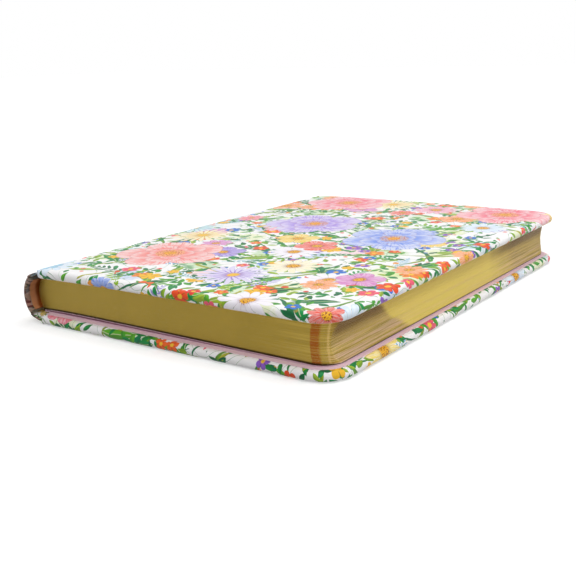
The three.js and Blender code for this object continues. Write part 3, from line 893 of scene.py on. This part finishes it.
def spine_face(start, end, steps):
    """Outer face of the spine panel between two angles, with the direction into the book."""
    line = []
    for k in range(steps + 1):
        angle = start + (end - start) * k / steps
        x = SPINE_CENTRE - SPINE_DEPTH * math.cos(angle)
        z = MID_HEIGHT + SPINE_HALF_HEIGHT * math.sin(angle)
        inward = np.array((math.cos(angle) / SPINE_DEPTH, -math.sin(angle) / SPINE_HALF_HEIGHT))
        line.append((np.array((x, z)), inward / np.linalg.norm(inward)))
    return line


def smooth_line(points, steps):
    """A centripetal Catmull-Rom curve through points."""
    points = [np.array(p, float) for p in points]
    points = [2 * points[0] - points[1], *points, 2 * points[-1] - points[-2]]
    found = []
    for i in range(1, len(points) - 2):
        four = points[i - 1:i + 3]
        knots = [0.0]
        for a, b in zip(four, four[1:]):
            knots.append(knots[-1] + math.sqrt(np.linalg.norm(b - a)))
        for k in range(steps):
            t = knots[1] + (knots[2] - knots[1]) * k / steps
            row = four
            for span in (1, 2):
                pairs = zip(row, row[1:], knots, knots[span:])
                row = [(p * (end - t) + q * (t - start)) / (end - start)
                       for p, q, start, end in pairs]
            share = (t - knots[1]) / (knots[2] - knots[1])
            found.append(row[0] * (1 - share) + row[1] * share)
    return found + [points[-2]]


def lengths(line):
    """Distance along a line at each of its points."""
    total = [0.0]
    for a, b in zip(line, line[1:]):
        total.append(total[-1] + float(np.linalg.norm(np.array(b) - np.array(a))))
    return total


def joint_line():
    """Middle of the paper in the back joint, from the spine panel to the board's face."""
    half = WRAP_THICKNESS / 2
    start = -SPINE_HALF_ANGLE - GLUE_LINE / SPINE_DEPTH
    curved = [p + inward * half for p, inward in spine_face(start, -SPINE_EDGE_ANGLE, 4)]
    edge = JOINT_WIDTH - GLUE_LINE - half
    floor = GROOVE_DEPTH + half
    groove = [(edge - before, floor + height) for before, height in GROOVE_POINTS]
    groove += [(edge - BOARD_EDGE_STEP, (floor + half) / 2), (edge, half)]
    return smooth_line(curved + groove, 5)


JOINT_LENGTH = lengths(joint_line())[-1]
whole_spine = spine_face(SPINE_HALF_ANGLE, -SPINE_HALF_ANGLE, 40)
SPINE_LENGTH = lengths([p for p, _ in whole_spine])[-1]


def on_sheet(side, from_joint, y):
    """A point of the flat sheet, in centimetres, by its distance from the board's joint edge."""
    if side == "front":
        return (JOINT_WIDTH + from_joint) * 100, y * 100
    return (JOINT_WIDTH - 2 * JOINT_LENGTH - SPINE_LENGTH - from_joint) * 100, y * 100


def cover_paper(side, material):
    """Paper over a nosed board: top face, nose and turn-in, then the same on the inner face of
    the sheet."""
    straight = COVER_WIDTH - COVER_CORNER - JOINT_WIDTH
    places = [JOINT_WIDTH + (k / COVER_COLUMNS) ** COLUMN_SPREAD * straight
              for k in range(COVER_COLUMNS + 1)]
    rim = outline(COVER_WIDTH, HALF_LENGTH, COVER_CORNER, places, COVER_CORNER_STEPS)
    count = len(rim)
    width = COVER_WIDTH - TURN_IN_WIDTH
    stretch = (width - WINDOW_CORNER - JOINT_WIDTH) / (places[-1] - JOINT_WIDTH)
    inner_places = [JOINT_WIDTH + (x - JOINT_WIDTH) * stretch for x in places]
    window = outline(width, HALF_LENGTH - TURN_IN_WIDTH, WINDOW_CORNER, inner_places,
                     COVER_CORNER_STEPS)
    middle = WRAPPED_THICKNESS / 2
    points, sheet = [], []
    for depth in (0.0, WRAP_THICKNESS):
        radius = middle - depth
        for k in range(NOSE_STEPS + 1):
            turn = (k / NOSE_STEPS - 0.5) * math.pi
            inset = middle - radius * math.cos(turn)
            z = flat(side, middle + radius * math.sin(turn))
            arc = middle * (turn + math.pi / 2) - middle
            for x, y, nx, ny in rim:
                points.append((x - nx * inset, y - ny * inset, settled(x, z)))
                sheet.append(on_sheet(side, x + nx * arc - JOINT_WIDTH, y + ny * arc))
        z = flat(side, WRAPPED_THICKNESS - depth)
        arc = middle * math.pi - middle + TURN_IN_WIDTH - middle
        for (x, y, _, _), (rx, ry, nx, ny) in zip(window, rim):
            points.append((x, y, settled(x, z)))
            sheet.append(on_sheet(side, rx + nx * arc - JOINT_WIDTH, ry + ny * arc))
    rings = NOSE_STEPS + 2
    inner = rings * count
    faces = across(0, count, True) + across(inner, count)
    for r in range(rings - 1):
        for k in range(count - 1):
            a = r * count + k
            faces.append((a, a + count, a + count + 1, a + 1))
            faces.append((inner + a, inner + a + 1, inner + a + count + 1, inner + a + count))
        for end in (0, count - 1):
            a = r * count + end
            b = a + count
            cap = (a, inner + a, inner + b, b)
            faces.append(cap if end == 0 else cap[::-1])
    edge = (rings - 1) * count
    for k in range(count - 1):
        faces.append((edge + k, inner + edge + k, inner + edge + k + 1, edge + k + 1))
    faces.append((0, count - 1, inner + count - 1, inner))
    return new_piece(side + "_cover_paper", points, faces, material, sheet)


printed_paper = watercolour()
for side in ("front", "back"):
    paper = cover_paper(side, printed_paper)
    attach(paper, side + "_cover")
    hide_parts(side + "_wrap")


def shell_faces(rows, columns):
    """Faces of a closed sheet made of rows. A row has columns points on the sheet's one face, and
    then as many on its other face."""
    faces = []
    row = 2 * columns
    for i in range(rows - 1):
        for k in range(columns - 1):
            a = i * row + k
            b = a + columns
            faces += [(a, a + 1, a + row + 1, a + row), (b, b + row, b + row + 1, b + 1)]
        for k in (0, columns - 1):
            a = i * row + k
            cap = (a, a + row, a + row + columns, a + columns)
            faces.append(cap if k == 0 else cap[::-1])
    for i in (0, rows - 1):
        for k in range(columns - 1):
            a = i * row + k
            cap = (a, a + columns, a + columns + 1, a + 1)
            faces.append(cap if i == 0 else cap[::-1])
    return faces


def spine_paper(material):
    """Paper round the spine card: outer face, round ends at tail and head, and a turn-in."""
    radius = SPINE_THICKNESS / 2
    profile = []
    for depth in (0.0, WRAP_THICKNESS):
        half = []
        for k in range(2 * SPINE_END_STEPS + 1):
            turn = k / SPINE_END_STEPS * math.pi / 2
            out = (radius - depth) * math.sin(turn)
            into = radius - (radius - depth) * math.cos(turn)
            half.append((HALF_LENGTH - radius + out, into, HALF_LENGTH - radius + radius * turn))
        along = HALF_LENGTH - radius + radius * math.pi + TURN_IN_WIDTH - radius
        half.append((HALF_LENGTH - TURN_IN_WIDTH, SPINE_THICKNESS - depth, along))
        profile += [(-y, into, -along) for y, into, along in reversed(half)] + half
    line = spine_face(SPINE_HALF_ANGLE, -SPINE_HALF_ANGLE, SPINE_STEPS)
    points, sheet = [], []
    for (place, inward), arc in zip(line, lengths([p for p, _ in line])):
        for y, into, along in profile:
            x, z = place + inward * into
            points.append((x, y, settled(x, z)))
            sheet.append(((JOINT_WIDTH - JOINT_LENGTH - arc) * 100, along * 100))
    faces = shell_faces(len(line), len(profile) // 2)
    return new_piece("spine_paper", points, faces, material, sheet)


paper = spine_paper(printed_paper)
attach(paper, "text_block_and_spine")
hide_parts("spine_wrap")


def strip(name, line, thickness, half_length, material, sheet_of):
    """A sheet bent along a line of middle points in X and Z, swept from tail to head. sheet_of
    tells where on the flat sheet a point lies, by its distance along the line and its Y."""
    points, sheet = [], []
    ys = np.linspace(-half_length, half_length, STRIP_COLUMNS)
    for i, (place, along) in enumerate(zip(line, lengths(line))):
        step = np.array(line[min(i + 1, len(line) - 1)]) - np.array(line[max(i - 1, 0)])
        step = step / np.linalg.norm(step)
        square = np.array((-step[1], step[0])) * thickness / 2
        for sign in (1, -1):
            x, z = np.array(place) + square * sign
            for y in ys:
                points.append((x, y, settled(x, z)))
                sheet.append(sheet_of(along, y))
    faces = shell_faces(len(line), STRIP_COLUMNS)
    return new_piece(name, points, faces, material, sheet)


for side in ("front", "back"):
    line = [(x, flat(side, z)) for x, z in joint_line()]
    joint = strip(side + "_joint_paper", line, WRAP_THICKNESS, HALF_LENGTH - WRAP_THICKNESS,
                  printed_paper, lambda along, y: on_sheet(side, along - JOINT_LENGTH, y))
    height = flat(side, GROOVE_DEPTH)
    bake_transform(joint)
    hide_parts(side + "_joint_wrap")


# Endpapers: a folded sheet of pink-lilac paper at each end of the block, half
# pasted down inside the cover and half free as the flyleaf.

ENDPAPER_THICKNESS = 0.00015
FOLD_START = 0.0043
FOLD_STEPS = 10
TURN_STEPS = 8
FLYLEAF_COLUMNS = (0.010, 0.013, 0.018, 0.025, 0.035, 0.05, 0.075)
FLYLEAF_CORNER_STEPS = 12


lilac, place, fibre, tone = fibrous(
    "endpaper", (800.0, 4.0, 0.7), ("f1cddb", "f9e1ea"), 0.6, 0.00002, 0.6)
cloud = lilac.noise(place, 45.0, 2.0)
lilac.set(base_color=lilac.mix(cloud * 0.35, tone, "e2b6cf"), roughness=0.55 + fibre * 0.15)
endpaper = lilac.material
for node in ("front_pastedown", "back_pastedown"):
    dress(node, endpaper)


def flyleaf(side, material):
    """The free half of an endpaper, from the fold to the fore edge."""
    low = COVER_THICKNESS + GLUE_LINE
    line = leaf_outline([FOLD_START], FLYLEAF_COLUMNS, FLYLEAF_CORNER_STEPS)
    heights = [flat(side, z) for z in (low, low + ENDPAPER_THICKNESS)]
    points = [(x, y, settled(x, z)) for z in heights for x, y, _, _ in line]
    return new_piece(side + "_flyleaf_paper", points, plate_faces(len(line)), material)


for side in ("front", "back"):
    free = flyleaf(side, endpaper)
    height = flat(side, COVER_THICKNESS)
    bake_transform(free)
    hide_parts(side + "_flyleaf", side + "_endpaper_fold")
    middle = COVER_THICKNESS - ENDPAPER_THICKNESS / 2
    radius = (ENDPAPER_THICKNESS + GLUE_LINE) / 2
    line = [(JOINT_WIDTH - k / FOLD_STEPS * (JOINT_WIDTH - FOLD_START), middle)
            for k in range(FOLD_STEPS)]
    for k in range(TURN_STEPS + 1):
        turn = k / TURN_STEPS * math.pi
        line.append((FOLD_START - radius * math.sin(turn), middle + radius * (1 - math.cos(turn))))
    line = [(x, flat(side, z)) for x, z in line]
    fold = strip(side + "_endpaper_hinge", line, ENDPAPER_THICKNESS, LEAF_HALF_LENGTH, endpaper,
                 lambda along, y: (along * 100, y * 100))
    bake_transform(fold)


# Table, light and camera: a plain pale table and soft studio light. The camera
# stands in front of the corner of tail and fore edge, a little above the journal.

TABLE_HALF_WIDTH = 3.0
TABLE_HEIGHT = -0.0002
SHADOW_REACH = (0.14, 0.40)
SKY = 0.22
PHOTO_WIDTH = 576
PHOTO_FOCAL_LENGTH = 913
CAMERA_ANGLES = (125.5, 14.74, -1.69)
CAMERA_PLACE = (0.1910, -0.2870, 0.0907)
SENSOR_WIDTH = 36.0


def seen_share(nodes):
    """1 for what the camera sees, straight or in a reflection, and 0 for light."""
    ray = nodes.add("ShaderNodeLightPath", None, None, "Is Camera Ray")
    return nodes.clamp(ray + ray.other("Is Glossy Ray") + ray.other("Is Transmission Ray"))


def table_top():
    """A pale table that keeps the shadow round the journal and fades to white farther out."""
    look = Finish("table")
    x, y, _ = look.split(look.object_place())
    away = look.ease(look.math("SQRT", x * x + y * y), *SHADOW_REACH)
    glow = look.mix(seen_share(look) * (0.5 + 0.5 * away), BLACK, WHITE)
    look.set(base_color=colour("cccccc"), roughness=0.9)
    look.set(emission_color=glow, emission_strength=1.0)
    return look.material


table_mesh = bpy.data.meshes.new("table")
corners = [(x * TABLE_HALF_WIDTH, y * TABLE_HALF_WIDTH, TABLE_HEIGHT)
           for x, y in ((-1, -1), (1, -1), (1, 1), (-1, 1))]
table_mesh.from_pydata(corners, [], [(0, 1, 2, 3)])
table_mesh.materials.append(table_top())
table = new_object("table", table_mesh)

world = bpy.data.worlds.new("studio")
world.use_nodes = True
bpy.context.scene.world = world
studio = Nodes(world.node_tree)
background = world.node_tree.nodes["Background"]
studio.feed(background, "Color", WHITE)
studio.feed(background, "Strength", seen_share(studio) * (1 - SKY) + SKY)


def soft_lamp(name, place, aim, width, height, power):
    lamp = bpy.data.lights.new(name, "AREA")
    lamp.shape = "RECTANGLE"
    lamp.size, lamp.size_y, lamp.energy = width, height, power
    holder = new_object(name, lamp)
    holder.location = place
    holder.rotation_euler = (Vector(aim) - Vector(place)).to_track_quat("-Z", "Y").to_euler()


soft_lamp("overhead", (0.15, 0.1, 0.9), (0, 0, 0), 0.7, 0.7, 5.0)
soft_lamp("from_the_front", (0.25, -0.6, 0.85), (0, 0, 0), 0.5, 0.4, 3.3)
soft_lamp("from_the_right", (0.9, 0.15, 0.3), (0, 0, 0.01), 0.5, 0.4, 1.6)

camera = bpy.data.cameras.new("camera")
camera.sensor_width = SENSOR_WIDTH
camera.lens = PHOTO_FOCAL_LENGTH / PHOTO_WIDTH * SENSOR_WIDTH
camera.clip_start = 0.01
camera_holder = new_object("camera", camera)
bpy.context.scene.camera = camera_holder
yaw, pitch, roll = (math.radians(a) for a in CAMERA_ANGLES)
level = math.cos(pitch)
ahead = Vector((level * math.cos(yaw), level * math.sin(yaw), -math.sin(pitch)))
right = ahead.cross(Vector((0, 0, 1))).normalized()
up = right.cross(ahead)
rolled_right = math.cos(roll) * right + math.sin(roll) * up
rolled_up = -math.sin(roll) * right + math.cos(roll) * up
turned = Matrix((rolled_right, rolled_up, -ahead)).transposed().to_4x4()
turned.translation = CAMERA_PLACE
camera_holder.matrix_world = turned

bpy.context.scene.view_settings.view_transform = "Standard"
